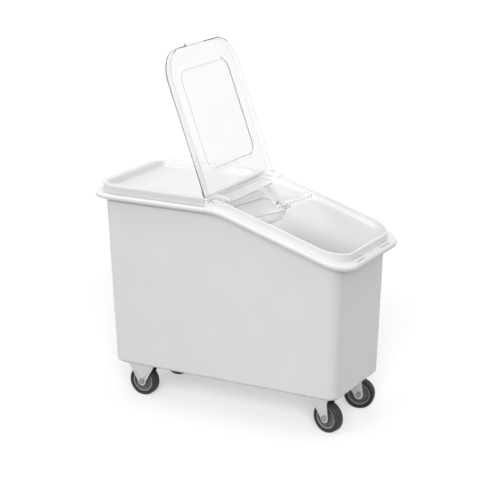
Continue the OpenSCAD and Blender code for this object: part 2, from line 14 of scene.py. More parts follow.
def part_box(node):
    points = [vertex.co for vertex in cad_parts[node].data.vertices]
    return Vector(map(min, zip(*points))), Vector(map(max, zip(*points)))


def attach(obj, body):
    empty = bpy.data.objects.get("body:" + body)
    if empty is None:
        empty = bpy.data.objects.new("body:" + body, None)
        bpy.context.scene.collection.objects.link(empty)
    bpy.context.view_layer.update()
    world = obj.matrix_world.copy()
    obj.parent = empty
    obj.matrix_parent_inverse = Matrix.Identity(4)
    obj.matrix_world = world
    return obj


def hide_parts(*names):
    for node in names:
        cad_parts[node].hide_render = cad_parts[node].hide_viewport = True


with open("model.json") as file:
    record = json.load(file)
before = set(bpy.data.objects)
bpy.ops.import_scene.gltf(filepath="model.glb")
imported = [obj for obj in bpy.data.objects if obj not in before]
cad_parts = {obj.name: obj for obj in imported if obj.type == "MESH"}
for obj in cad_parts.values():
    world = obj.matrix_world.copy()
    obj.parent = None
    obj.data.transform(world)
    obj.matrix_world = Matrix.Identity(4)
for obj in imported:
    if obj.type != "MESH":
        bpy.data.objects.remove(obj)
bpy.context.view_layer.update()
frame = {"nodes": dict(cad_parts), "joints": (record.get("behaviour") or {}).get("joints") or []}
nodes = frame["nodes"]
scene = bpy.context.scene
scene.view_settings.view_transform = "Standard"

# Sizes of the bin, as in the CAD source
BIN_HALF_LENGTH = 0.370
BIN_HALF_WIDTH = 0.178
FLANGE_HEIGHT = 0.564
BASE_HEIGHT = 0.097
SLOPE = math.radians(17.3)
BEND_X = 0.014
BEND_RADIUS = 0.200
WALL_DRAFT = 0.019
WALL = 0.004
FLOOR_THICKNESS = 0.005
CORNER_RADIUS = 0.048
LEAST_RADIUS = 0.006
BASE_ROUNDING = 0.008
INNER_ROUNDING = 0.006
FLANGE_OVERHANG = 0.025
FLANGE_DROP = 0.012
FLANGE_CORNER = 0.065
LIP = 0.004
WALL_FILLET = 0.006
COLLAR_HEIGHT = 0.0205
COLLAR_OUT = 0.017
COLLAR_IN = 0.022
COLLAR_CORNER = 0.068
LUG_LENGTH = 0.048
LUG_PLACE = 0.074
LUG_WIDTH = 0.009
LUG_HEIGHT = 0.004

# Sizes of the rear cover and the lid, as in the CAD source
SHEET = 0.003
COVER_TOP = 0.5878
COVER_GROW = 0.0045
COVER_SKIRT = 0.023
COVER_FRONT = -0.027
RECESS_DEPTH = 0.018
RECESS_DRAFT = 0.005
RECESS_REAR = -0.337
RECESS_FRONT = -0.042
RECESS_HALF_WIDTH = 0.145
RECESS_RADIUS = 0.034
HINGE = Vector((-0.007, 0.0, 0.583))
LID_ANGLE = math.radians(109.7)
LID_HALF_WIDTH = 0.169
LID_RADIUS = 0.078
LID_SKIRT = 0.018
LID_OUTSIDE = 0.01428
LID_FOOT = 0.01053
LID_FRONT = 0.38279
PANEL_BORDER = 0.047
PANEL_REAR = LID_FOOT + PANEL_BORDER
PANEL_FRONT = LID_FRONT - PANEL_BORDER
PANEL_HALF_WIDTH = 0.129
PANEL_RADIUS = 0.040
PANEL_SLOPE = 0.012
PANEL_DEPTH = 0.009
TAB_HALF_WIDTH = 0.041
TAB_REACH = 0.006
EAR_RADIUS = 0.0065
EAR_END = 0.02653

# Fine shape of the rim; turns are in degrees
FILLET_TURN = 60
FLANGE_ROOT = 0.009
LIP_ROUNDING = 0.0062
LIP_CHAMFER = 0.0012
LIP_TAPER = 0.0002
LIP_END_ROUNDING = 0.0014
LIP_END_INSET = 0.0022
LIP_END_TURN = 330
LIP_SIDE_INSET = 0.0004
LIP_SIDE_DROP = 0.009
COLLAR_EDGE = 0.002
COLLAR_FILLET = 0.0025
COLLAR_FOOT = 0.004
INSIDE_DROP = 0.006
LUG_ROUNDING = 0.0018
LUG_SINK = 0.001

# Fine shape of the cover and the lid; turns are in degrees
CUT_ALLOWANCE = 0.05
END_ROUNDING = 0.001
END_BEVEL = END_ROUNDING / 2
END_BEVEL_ANGLE = 50
COVER_ROUNDING = 0.006
COVER_UNDER_STEP = 0.001
COVER_UNDER_FLAT = 0.003
RECESS_ROUNDING = 0.004
RECESS_TOP_SHIFT = 0.001
RECESS_FOOT_SHIFT = 0.0075
RECESS_TURN = 75
LID_ROUNDING = 0.004
PANEL_BEND = 0.002
PANEL_BEND_START = 0.0003
PANEL_BEND_DROP = 0.0014
PANEL_FOOT = 0.001
PANEL_FOOT_UNDER = 0.0006
SHEET_FACES = (-SHEET / 2, SHEET / 2)

# Wheel cores
CORE_BORE = 0.0057
CORE_CHAMFER = 0.0006
CORE_FILLET = 0.0015
HUB_RADIUS = 0.011
HUB_HALF = 0.0135
WEB_HALF = 0.0045
WEB_LEAN = 5
WAIST_HALF = 0.0025
RIM_IN = 0.0259
RIM_OUT = 0.0299
RIM_HALF = 0.011
WHEELS = ("rear_near_wheel", "rear_far_wheel", "front_near_wheel", "front_far_wheel")

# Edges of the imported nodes
SMALL_BEVEL = 0.0004
SCOOP_BEVEL = 0.0008
STRIP_BEVEL = 0.0011
NODE_BEVEL_ANGLE = 35
BEVEL_SEGMENTS = 2
WELD_DISTANCE = 0.00001

# Fineness of the lofts
CORNER_STEPS = 14
BEND_STEPS = 16
ROUND_STEPS = 8
EDGE_STEPS = 6
END_STEPS = 3
EAR_STEPS = 12
CORE_STEPS = 4
SPIN_STEPS = 56

# Camera, fitted to the photograph's edges
CAMERA_AZIMUTH = math.radians(28.93)
CAMERA_ELEVATION = math.radians(15.94)
CAMERA_ROLL = math.radians(-0.28)
CAMERA_DISTANCE = 4.2516
CAMERA_TARGET = Vector((-0.0146, 0.0, 0.4382))
CAMERA_LENS = 123.37
SENSOR_WIDTH = 36.0
CLIP_START = 0.1
CLIP_END = 100.0

# Light and floor; spreads are in degrees
WHITE = (1, 1, 1, 1)
AMBIENT = 0.64
SEEN_STRENGTH = 1.0
BELOW_ONE_BOUNCE = 0.5
FLOOR_COLOUR = 0.34
FLOOR_BOUNCE = 0.11
FLOOR_GLOW = 0.4
FLOOR_SUN = 7.2
FLOOR_SPREAD = 36.0
FLOOR_REACH = 30.0
KEY_STRENGTH = 0.71
FILL_STRENGTH = 0.53
FRONT_SPREAD = 10.0
BACK_STRENGTH = 0.86
BACK_SPREAD = 60.0
INSIDE_POWER = 0.13
INSIDE_LENGTH = 0.2
INSIDE_HEIGHT = 0.16
INSIDE_PLACE = Vector((0.0, -0.03, 0.43))
INSIDE_AIM = Vector((-0.8, 0.45, 0.4))

# Noise and bump of the materials
NOISE_LOW = 0.3
NOISE_HIGH = 0.7
NOISE_DETAIL = 4.0
EVEN_STRETCH = (1, 1, 1)
CLOUD_SCALE = 9.0
CLOUD_DETAIL = 3.0
GRAIN_DETAIL = 2.0
GRAIN_DEPTH = 0.0002
CLEAR_CLOUD_SCALE = 14.0
CLEAR_HAZE_SCALE = 60.0
CLEAR_INDEX = 1.25
BRUSH_SCALE = 120.0
BRUSH_DETAIL = 3.0
BRUSH_STRENGTH = 0.05
PLATE_CLOUD_SCALE = 40.0
SOFT_WEIGHT = 0.4
SOFT_DEPTH = 0.012
SOFT_RADIUS = (1.0, 1.0, 1.0)


# Camera

def direction(azimuth, elevation):
    """Points from the object to a place at this angle round it, measured from its near side."""
    level = math.cos(elevation)
    return Vector((math.sin(azimuth) * level, -math.cos(azimuth) * level, math.sin(elevation)))


def make_camera():
    back = direction(CAMERA_AZIMUTH, CAMERA_ELEVATION)
    right = Vector((math.cos(CAMERA_AZIMUTH), math.sin(CAMERA_AZIMUTH), 0.0))
    up = back.cross(right)
    turned_right = right * math.cos(CAMERA_ROLL) + up * math.sin(CAMERA_ROLL)
    turned_up = up * math.cos(CAMERA_ROLL) - right * math.sin(CAMERA_ROLL)
    data = bpy.data.cameras.new("camera")
    data.lens = CAMERA_LENS
    data.sensor_width = SENSOR_WIDTH
    data.clip_start = CLIP_START
    data.clip_end = CLIP_END
    camera = bpy.data.objects.new("camera", data)
    scene.collection.objects.link(camera)
    turn = Matrix((turned_right, turned_up, back)).transposed().to_4x4()
    camera.matrix_world = Matrix.Translation(CAMERA_TARGET + back * CAMERA_DISTANCE) @ turn
    scene.camera = camera


# Lamps, world and floor

def sun(name, azimuth, elevation, strength, spread):
    """A sun that shines from this angle round the object; all angles are in degrees."""
    data = bpy.data.lights.new(name, "SUN")
    data.energy = strength
    data.angle = math.radians(spread)
    light = bpy.data.objects.new(name, data)
    scene.collection.objects.link(light)
    towards = direction(math.radians(azimuth), math.radians(elevation))
    light.rotation_mode = "QUATERNION"
    light.rotation_quaternion = towards.to_track_quat("Z", "Y")
    return light


def inside_lamp():
    """Stands for the light that the thin near wall lets through to the inside."""
    data = bpy.data.lights.new("inside", "AREA")
    data.shape = "RECTANGLE"
    data.size = INSIDE_LENGTH
    data.size_y = INSIDE_HEIGHT
    data.energy = INSIDE_POWER
    light = bpy.data.objects.new("inside", data)
    scene.collection.objects.link(light)
    light.location = INSIDE_PLACE
    light.rotation_mode = "QUATERNION"
    light.rotation_quaternion = INSIDE_AIM.to_track_quat("-Z", "Y")
    light.visible_camera = False
    light.visible_glossy = False
    light.visible_transmission = False


def floor_sun(floor):
    """A sun that lights only the floor, for the object's shadow on it."""
    floor_only = bpy.data.collections.new("floor_only")
    floor_only.objects.link(floor)
    light = sun("floor", azimuth=29, elevation=23, strength=FLOOR_SUN, spread=FLOOR_SPREAD)
    light.light_linking.receiver_collection = floor_only


def seen_directly(tree):
    """Is 1 for the rays that see the backdrop straight, in a reflection or through clear plastic."""
    path = tree.nodes.new("ShaderNodeLightPath")
    found = path.outputs["Is Camera Ray"]
    for kind in ("Is Glossy Ray", "Is Transmission Ray"):
        larger = tree.nodes.new("ShaderNodeMath")
        larger.operation = "MAXIMUM"
        tree.links.new(found, larger.inputs[0])
        tree.links.new(path.outputs[kind], larger.inputs[1])
        found = larger.outputs["Value"]
    straight = tree.nodes.new("ShaderNodeMath")
    straight.operation = "LESS_THAN"
    straight.inputs[1].default_value = BELOW_ONE_BOUNCE
    tree.links.new(path.outputs["Diffuse Depth"], straight.inputs[0])
    both = tree.nodes.new("ShaderNodeMath")
    both.operation = "MULTIPLY"
    tree.links.new(found, both.inputs[0])
    tree.links.new(straight.outputs["Value"], both.inputs[1])
    return both.outputs["Value"]


def make_world():
    world = bpy.data.worlds.new("studio")
    scene.world = world
    world.use_nodes = True
    tree = world.node_tree
    tree.nodes.clear()
    out = tree.nodes.new("ShaderNodeOutputWorld")
    mix = tree.nodes.new("ShaderNodeMixShader")
    lit = tree.nodes.new("ShaderNodeBackground")
    seen = tree.nodes.new("ShaderNodeBackground")
    lit.inputs["Strength"].default_value = AMBIENT
    lit.inputs["Color"].default_value = WHITE
    seen.inputs["Color"].default_value = WHITE
    seen.inputs["Strength"].default_value = SEEN_STRENGTH
    tree.links.new(seen_directly(tree), mix.inputs["Fac"])
    tree.links.new(lit.outputs[0], mix.inputs[1])
    tree.links.new(seen.outputs[0], mix.inputs[2])
    tree.links.new(mix.outputs[0], out.inputs["Surface"])


def make_floor():
    mesh = bpy.data.meshes.new("floor")
    signs = ((-1, -1), (1, -1), (1, 1), (-1, 1))
    points = [(x * FLOOR_REACH, y * FLOOR_REACH, 0) for x, y in signs]
    mesh.from_pydata(points, [], [(0, 1, 2, 3)])
    floor = bpy.data.objects.new("floor", mesh)
    scene.collection.objects.link(floor)
    material = bpy.data.materials.new("floor")
    material.use_nodes = True
    tree = material.node_tree
    tree.nodes.clear()
    out = tree.nodes.new("ShaderNodeOutputMaterial")
    add = tree.nodes.new("ShaderNodeAddShader")
    mix = tree.nodes.new("ShaderNodeMixShader")
    bounce = tree.nodes.new("ShaderNodeBsdfDiffuse")
    bounce.inputs["Color"].default_value = (FLOOR_BOUNCE, FLOOR_BOUNCE, FLOOR_BOUNCE, 1)
    diffuse = tree.nodes.new("ShaderNodeBsdfDiffuse")
    diffuse.inputs["Color"].default_value = (FLOOR_COLOUR, FLOOR_COLOUR, FLOOR_COLOUR, 1)
    emit = tree.nodes.new("ShaderNodeEmission")
    emit.inputs["Strength"].default_value = FLOOR_GLOW
    tree.links.new(diffuse.outputs["BSDF"], add.inputs[0])
    tree.links.new(emit.outputs["Emission"], add.inputs[1])
    tree.links.new(seen_directly(tree), mix.inputs["Fac"])
    tree.links.new(bounce.outputs["BSDF"], mix.inputs[1])
    tree.links.new(add.outputs["Shader"], mix.inputs[2])
    tree.links.new(mix.outputs["Shader"], out.inputs["Surface"])
    mesh.materials.append(material)
    return floor


# Materials

def new_material(name):
    material = bpy.data.materials.new(name)
    material.use_nodes = True
    tree = material.node_tree
    return material, tree, tree.nodes["Principled BSDF"]


def coordinates(tree, scale):
    place = tree.nodes.new("ShaderNodeTexCoord")
    mapping = tree.nodes.new("ShaderNodeMapping")
    mapping.inputs["Scale"].default_value = scale
    tree.links.new(place.outputs["Object"], mapping.inputs["Vector"])
    return mapping.outputs["Vector"]


def noise(tree, scale, detail=NOISE_DETAIL, stretch=EVEN_STRETCH):
    node = tree.nodes.new("ShaderNodeTexNoise")
    node.inputs["Scale"].default_value = scale
    node.inputs["Detail"].default_value = detail
    tree.links.new(coordinates(tree, stretch), node.inputs["Vector"])
    return node.outputs["Fac"]


def spread_over(tree, value, ends):
    """Turns a noise value into a number between two ends."""
    node = tree.nodes.new("ShaderNodeMapRange")
    node.inputs["From Min"].default_value = NOISE_LOW
    node.inputs["From Max"].default_value = NOISE_HIGH
    node.inputs["To Min"].default_value = ends[0]
    node.inputs["To Max"].default_value = ends[1]
    tree.links.new(value, node.inputs["Value"])
    return node.outputs["Result"]


def tint(tree, value, dark, light):
    """Turns a noise value into a colour between two colours."""
    node = tree.nodes.new("ShaderNodeValToRGB")
    node.color_ramp.elements[0].position = NOISE_LOW
    node.color_ramp.elements[1].position = NOISE_HIGH
    node.color_ramp.elements[0].color = (*dark, 1)
    node.color_ramp.elements[1].color = (*light, 1)
    tree.links.new(value, node.inputs["Fac"])
    return node.outputs["Color"]


def bump(tree, shader, height, strength):
    node = tree.nodes.new("ShaderNodeBump")
    node.inputs["Strength"].default_value = strength
    node.inputs["Distance"].default_value = GRAIN_DEPTH
    tree.links.new(height, node.inputs["Height"])
    tree.links.new(node.outputs["Normal"], shader.inputs["Normal"])


def moulded(name, dark, light, rough, grain, strength, specular=0.5):
    """Moulded plastic or rubber with a fine grain."""
    material, tree, shader = new_material(name)
    cloud = noise(tree, CLOUD_SCALE, CLOUD_DETAIL)
    fine = noise(tree, grain, GRAIN_DETAIL)
    tree.links.new(tint(tree, cloud, dark, light), shader.inputs["Base Color"])
    tree.links.new(spread_over(tree, fine, rough), shader.inputs["Roughness"])
    bump(tree, shader, fine, strength)
    shader.inputs["Specular IOR Level"].default_value = specular
    return material


def let_light_in(material):
    """Lets a white plastic glow a little from within."""
    shader = material.node_tree.nodes["Principled BSDF"]
    shader.inputs["Subsurface Weight"].default_value = SOFT_WEIGHT
    shader.inputs["Subsurface Scale"].default_value = SOFT_DEPTH
    shader.inputs["Subsurface Radius"].default_value = SOFT_RADIUS


def clear(name, dark, light, rough, milk=0.0):
    """Clear plastic that bends light a little and lets the lamps through."""
    material, tree, shader = new_material(name)
    cloud = noise(tree, CLEAR_CLOUD_SCALE, GRAIN_DETAIL)
    haze = noise(tree, CLEAR_HAZE_SCALE)
    tree.links.new(tint(tree, cloud, dark, light), shader.inputs["Base Color"])
    tree.links.new(spread_over(tree, haze, rough), shader.inputs["Roughness"])
    shader.inputs["Transmission Weight"].default_value = 1.0 - milk
    shader.inputs["IOR"].default_value = CLEAR_INDEX
    through = tree.nodes.new("ShaderNodeBsdfTransparent")
    path = tree.nodes.new("ShaderNodeLightPath")
    mix = tree.nodes.new("ShaderNodeMixShader")
    tree.links.new(path.outputs["Is Shadow Ray"], mix.inputs["Fac"])
    tree.links.new(shader.outputs["BSDF"], mix.inputs[1])
    tree.links.new(through.outputs["BSDF"], mix.inputs[2])
    tree.links.new(mix.outputs["Shader"], tree.nodes["Material Output"].inputs["Surface"])
    return material


def plated(name, dark, light, rough, stretch):
    """Plated steel with fine marks; stretch gives the scale of their noise along each axis."""
    material, tree, shader = new_material(name)
    shader.inputs["Metallic"].default_value = 1.0
    brushed = noise(tree, BRUSH_SCALE, BRUSH_DETAIL, stretch)
    cloud = noise(tree, PLATE_CLOUD_SCALE)
    tree.links.new(tint(tree, cloud, dark, light), shader.inputs["Base Color"])
    tree.links.new(spread_over(tree, brushed, rough), shader.inputs["Roughness"])
    bump(tree, shader, brushed, BRUSH_STRENGTH)
    return material


white_bin = moulded(
    "white_bin", dark=(0.89, 0.89, 0.887), light=(0.915, 0.915, 0.912),
    rough=(0.34, 0.44), grain=900.0, strength=0.06)
white_cover = moulded(
    "white_cover", dark=(0.82, 0.82, 0.82), light=(0.84, 0.84, 0.84),
    rough=(0.2, 0.3), grain=500.0, strength=0.02)
let_light_in(white_bin)
let_light_in(white_cover)
clear_plastic = clear(
    "clear_plastic", dark=(0.915, 0.92, 0.92), light=(0.93, 0.935, 0.935),
    rough=(0.02, 0.05), milk=0.04)
# Painted shade: a darker clear plastic for the lid's bends and edges, drawing the dark lines that light
# makes there
clear_edge_shade = clear(
    "clear_edge_shade", dark=(0.68, 0.69, 0.695), light=(0.73, 0.74, 0.745), rough=(0.04, 0.08))
strip_plastic = clear(
    "strip_plastic", dark=(0.965, 0.97, 0.97), light=(0.98, 0.98, 0.98),
    rough=(0.03, 0.07), milk=0.2)
scoop_plastic = clear(
    "scoop_plastic", dark=(0.965, 0.97, 0.97), light=(0.98, 0.98, 0.98),
    rough=(0.03, 0.07), milk=0.07)
# Painted shade: a dark clear plastic for the strip's rounded edges, drawing its dark edge lines
strip_edge_shade = clear(
    "strip_edge_shade", dark=(0.2, 0.205, 0.21), light=(0.25, 0.255, 0.26), rough=(0.04, 0.08))
# Painted shade: a darker clear plastic for the scoop's rounded edges, drawing its dark edge lines
scoop_edge_shade = clear(
    "scoop_edge_shade", dark=(0.5, 0.505, 0.51), light=(0.56, 0.565, 0.57), rough=(0.04, 0.08))
zinc = plated(
    "zinc_steel", dark=(0.53, 0.535, 0.54), light=(0.57, 0.575, 0.58),
    rough=(0.36, 0.46), stretch=(1, 1, 6))
bolt_steel = plated(
    "bolt_steel", dark=(0.26, 0.265, 0.27), light=(0.34, 0.345, 0.35),
    rough=(0.3, 0.45), stretch=EVEN_STRETCH)
core_plastic = moulded(
    "core_plastic", dark=(0.12, 0.124, 0.13), light=(0.16, 0.164, 0.172),
    rough=(0.4, 0.5), grain=700.0, strength=0.1)
# Painted highlight: a lighter grey for the bead round the wheel core's rim, standing in for the light it
# catches
core_bead_highlight = moulded(
    "core_bead_highlight", dark=(0.31, 0.315, 0.325), light=(0.36, 0.365, 0.375),
    rough=(0.3, 0.4), grain=700.0, strength=0.06)
tyre_rubber = moulded(
    "tyre_rubber", dark=(0.03, 0.031, 0.034), light=(0.045, 0.046, 0.05),
    rough=(0.5, 0.65), grain=900.0, strength=0.15, specular=0.35)


# Shape helpers

def even_normals(obj):
    normal = obj.modifiers.new("normals", "WEIGHTED_NORMAL")
    normal.keep_sharp = False


def round_edges(obj, width, angle):
    bevel = obj.modifiers.new("bevel", "BEVEL")
    bevel.width = width
    bevel.segments = BEVEL_SEGMENTS
    bevel.limit_method = "ANGLE"
    bevel.angle_limit = math.radians(angle)
    return bevel


def dress(obj, material, width=0.0, edge=None):
    """Gives a node its material, welds its seams, rounds its edges and shades it smooth; an edge material,
    if given, goes on the rounded edges as painted shade.
    """
    obj.data.materials.clear()
    obj.data.materials.append(material)
    if edge is not None:
        obj.data.materials.append(edge)
    for face in obj.data.polygons:
        face.use_smooth = True
    weld = obj.modifiers.new("weld", "WELD")
    weld.merge_threshold = WELD_DISTANCE
    if width > 0:
        bevel = round_edges(obj, width, NODE_BEVEL_ANGLE)
        # The bevel faces take the edge material: painted shade lines along the edges
        if edge is not None:
            bevel.material = 1
    even_normals(obj)


def arc(across, up, radius, first, last, steps=EDGE_STEPS):
    """Points of a rounded edge in a section, as pairs of distance across and distance up."""
    found = []
    for i in range(steps + 1):
        angle = math.radians(first + (last - first) * i / steps)
        found.append((across + radius * math.cos(angle), up + radius * math.sin(angle)))
    return found


def corners(low, high, half, low_radius, high_radius, side=()):
    """A closed outline: a rectangle with round corners.

    Each end has its own corner radius, and side gives further points along both sides.
    """
    points = []
    quarters = (
        (high - high_radius, half - high_radius, high_radius, 0),
        (low + low_radius, half - low_radius, low_radius, 90),
        (low + low_radius, low_radius - half, low_radius, 180),
        (high - high_radius, high_radius - half, high_radius, 270))
    for quarter, (x, y, radius, first) in enumerate(quarters):
        bend = arc(0, 0, radius, first, first + 90, CORNER_STEPS)
        points.extend((x + across, y + up) for across, up in bend)
        if quarter == 0:
            points.extend((place, half) for place in reversed(side))
        if quarter == 2:
            points.extend((place, -half) for place in side)
    return points


def skin(work, verts, edges):
    """Adds faces from each ring of points to the next one.

    The faces after the rings whose numbers are in edges get the second material.
    """
    for place, (lower, upper) in enumerate(zip(verts, verts[1:])):
        for i in range(len(lower)):
            j = (i + 1) % len(lower)
            face = work.faces.new((lower[i], lower[j], upper[j], upper[i]))
            face.material_index = 1 if place in edges else 0


def loft(work, rings, edges=()):
    """Adds a closed skin through rings of equal length to a bmesh."""
    verts = [[work.verts.new(point) for point in ring] for ring in rings]
    work.faces.new(list(reversed(verts[0])))
    skin(work, verts, edges)
    work.faces.new(verts[-1])


def spin(work, profile, centre, axis, edges):
    """Adds a closed section, as pairs of radius and place along the axis, turned about that axis."""
    side = axis.orthogonal().normalized()
    other = axis.cross(side)
    verts = []
    for radius, along in profile:
        turn = arc(0, 0, radius, 0, 360, SPIN_STEPS)[:-1]
        verts.append([work.verts.new(centre + axis * along + side * x + other * y) for x, y in turn])
    skin(work, verts + verts[:1], edges)


def trim(work, place, normal):
    """Cuts off what lies beyond a plane and closes the cut."""
    everything = work.verts[:] + work.edges[:] + work.faces[:]
    bmesh.ops.bisect_plane(work, geom=everything, plane_co=place, plane_no=normal, clear_outer=True)
    open_edges = [edge for edge in work.edges if edge.is_boundary]
    bmesh.ops.triangle_fill(work, edges=open_edges, use_beauty=True)


def solid(work, name, *materials):
    """Makes an object of a bmesh."""
    bmesh.ops.recalc_face_normals(work, faces=work.faces)
    mesh = bpy.data.meshes.new(name)
    work.to_mesh(mesh)
    work.free()
    for face in mesh.polygons:
        face.use_smooth = True
    for material in materials:
        mesh.materials.append(material)
    piece = bpy.data.objects.new(name, mesh)
    scene.collection.objects.link(piece)
    return piece


def join(piece, other):
    """Joins another solid to a piece and removes that solid."""
    union = piece.modifiers.new("join", "BOOLEAN")
    union.operation = "UNION"
    union.solver = "EXACT"
    union.object = other
    found = piece.evaluated_get(bpy.context.evaluated_depsgraph_get())
    mesh = bpy.data.meshes.new_from_object(found)
    piece.modifiers.remove(union)
    piece.data = mesh
    bpy.data.objects.remove(other)


def take_part(piece, body, node):
    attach(piece, body)
    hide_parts(node)


def skirt_section(top, rounding, depth):
    """Section of a sheet's edge: from the underside down the skirt, round its end and up to the top."""
    free = top - depth + END_ROUNDING
    section = arc(rounding, top - rounding, rounding - SHEET, 90, 180)
    section += arc(SHEET - END_ROUNDING, free, END_ROUNDING, 0, -90, END_STEPS)
    section += arc(END_ROUNDING, free, END_ROUNDING, 270, 180, END_STEPS)
    section += arc(rounding, top - rounding, rounding, 180, 90, ROUND_STEPS)
    return section


# The bin

BEND_TANGENT = BEND_RADIUS * math.tan(SLOPE / 2)
BEND_START = BEND_X - BEND_TANGENT
BEND_END = BEND_X + BEND_TANGENT * math.cos(SLOPE)
BEND_PLACES = [BEND_START + (BEND_END - BEND_START) * i / BEND_STEPS for i in range(BEND_STEPS + 1)]
REAR_PLACES = [-0.25, -0.15]
FRONT_PLACES = [0.12, 0.19, 0.25]
SIDE_PLACES = REAR_PLACES + BEND_PLACES + FRONT_PLACES
WALL_HEIGHTS = (0.16, 0.24, 0.32, 0.40)


def rim_z(x):
    """Height of the flange's top: level at the rear, then a bend, then the slope."""
    if x < BEND_START:
        return FLANGE_HEIGHT
    if x < BEND_END:
        return FLANGE_HEIGHT - BEND_RADIUS + math.sqrt(BEND_RADIUS ** 2 - (x - BEND_START) ** 2)
    return FLANGE_HEIGHT - (x - BEND_X) * math.tan(SLOPE)


def outline(half_x, half_y, radius):
    return corners(-half_x, half_x, half_y, radius, radius, SIDE_PLACES)


def wall_outline(z, inset):
    draw = WALL_DRAFT * (FLANGE_HEIGHT - z) / (FLANGE_HEIGHT - BASE_HEIGHT) + inset
    half_x = BIN_HALF_LENGTH - FLANGE_OVERHANG - draw
    half_y = BIN_HALF_WIDTH - FLANGE_OVERHANG - draw
    return outline(half_x, half_y, max(CORNER_RADIUS - draw, LEAST_RADIUS))


def level_ring(z, inset):
    """A level ring on the wall."""
    return [(x, y, z) for x, y in wall_outline(z, inset)]


def rim_ring(inset, lift, radius):
    """A ring that follows the rim's bend and slope."""
    flat = outline(BIN_HALF_LENGTH - inset, BIN_HALF_WIDTH - inset, radius)
    return [(x, y, rim_z(x) + lift) for x, y in flat]


def flange_ring(inset, lift):
    return rim_ring(inset, lift, FLANGE_CORNER - inset)


def collar_ring(inset, lift):
    return rim_ring(inset, lift, COLLAR_CORNER + COLLAR_OUT - inset)


def wall_ring(inset, lift):
    """A ring on the wall that follows the rim's bend and slope."""
    ring = []
    for i, (x, _) in enumerate(wall_outline(FLANGE_HEIGHT, inset)):
        near_x, near_y = wall_outline(rim_z(x) + lift, inset)[i]
        ring.append((near_x, near_y, rim_z(near_x) + lift))
    return ring


def bin_shell():
    """The bin as one smooth loft, with the two front lugs.

    The loft runs up the outside wall, round the rim, over the collar and down the inside wall.
    """
    rings = []
    for across, up in arc(BASE_ROUNDING, BASE_ROUNDING, BASE_ROUNDING, 270, 180):
        rings.append(level_ring(BASE_HEIGHT + up, across))
    rings.extend(level_ring(z, 0.0) for z in WALL_HEIGHTS)
    rings.append(wall_ring(0.0, -LIP - 2 * WALL_FILLET))
    for across, up in arc(-WALL_FILLET, -LIP - WALL_FILLET, WALL_FILLET, 0, FILLET_TURN):
        rings.append(wall_ring(across, up))
    rings.append(flange_ring(FLANGE_OVERHANG - FLANGE_ROOT, -LIP))
    rings.append(flange_ring(LIP + LIP_CHAMFER, -LIP))
    lip_end = -FLANGE_DROP + LIP_END_ROUNDING
    flange = [(LIP, -LIP - LIP_CHAMFER), (LIP - LIP_TAPER, lip_end)]
    flange += arc(LIP_END_INSET, lip_end, LIP_END_ROUNDING, LIP_END_TURN, 180)
    flange += [(LIP_SIDE_INSET, -LIP_SIDE_DROP)]
    flange += arc(LIP_ROUNDING, -LIP_ROUNDING, LIP_ROUNDING, 180, 90, ROUND_STEPS)
    rings.extend(flange_ring(across, up) for across, up in flange)
    collar = arc(COLLAR_OUT - COLLAR_FILLET, COLLAR_FILLET, COLLAR_FILLET, 270, 360)
    collar += arc(COLLAR_OUT + COLLAR_EDGE, COLLAR_HEIGHT - COLLAR_EDGE, COLLAR_EDGE, 180, 90)
    collar += arc(COLLAR_IN - COLLAR_EDGE, COLLAR_HEIGHT - COLLAR_EDGE, COLLAR_EDGE, 90, 0)
    collar += [(COLLAR_IN, COLLAR_FOOT)]
    rings.extend(collar_ring(across, up) for across, up in collar)
    rings.append(wall_ring(WALL, -INSIDE_DROP))
    rings.extend(level_ring(z, WALL) for z in reversed(WALL_HEIGHTS))
    inside = BASE_HEIGHT + FLOOR_THICKNESS
    for across, up in arc(INNER_ROUNDING, INNER_ROUNDING, INNER_ROUNDING, 180, 270):
        rings.append(level_ring(inside + up, WALL + across))
    work = bmesh.new()
    loft(work, rings)
    for side in (-1, 1):
        add_lug(work, side * LUG_PLACE)
    piece = solid(work, "bin_shell", white_bin)
    even_normals(piece)
    take_part(piece, "bin", "bin_body")


def add_lug(work, middle):
    """Adds a low rounded bar at the foot of the front collar."""
    foot = BIN_HALF_LENGTH - COLLAR_OUT
    root = foot - LUG_SINK
    tip = foot + LUG_WIDTH
    section = [(root, -LIP / 2), (root, LUG_HEIGHT)]
    section += arc(tip - LUG_ROUNDING, LUG_HEIGHT - LUG_ROUNDING, LUG_ROUNDING, 90, 0)
    section += [(tip, -LIP / 2)]
    half = LUG_LENGTH / 2
    straight = half - LUG_ROUNDING
    rings = []
    for along, shrink in ((-half, LUG_ROUNDING), (-straight, 0), (straight, 0), (half, LUG_ROUNDING)):
        ring = []
        for x, lift in section:
            low = lift if lift < 0 else max(lift - shrink, 0)
            ring.append((x, middle + along, rim_z(x) + low))
        rings.append(ring)
    loft(work, rings)


# The rear cover

def cover_ring(inset, up):
    """A ring round the cover's edge, which runs on past the place where the front is cut."""
    rear = COLLAR_OUT - COVER_GROW - BIN_HALF_LENGTH + inset
    half = BIN_HALF_WIDTH - COLLAR_OUT + COVER_GROW - inset
    beyond = COVER_FRONT + CUT_ALLOWANCE
    flat = corners(rear, beyond, half, COLLAR_CORNER + COVER_GROW - inset, LEAST_RADIUS)
    return [(x, y, COVER_TOP + up) for x, y in flat]


def recess_ring(grow, up):
    radius = RECESS_RADIUS + grow
    flat = corners(RECESS_REAR - grow, RECESS_FRONT + grow, RECESS_HALF_WIDTH + grow, radius, radius)
    return [(x, y, COVER_TOP + up) for x, y in flat]


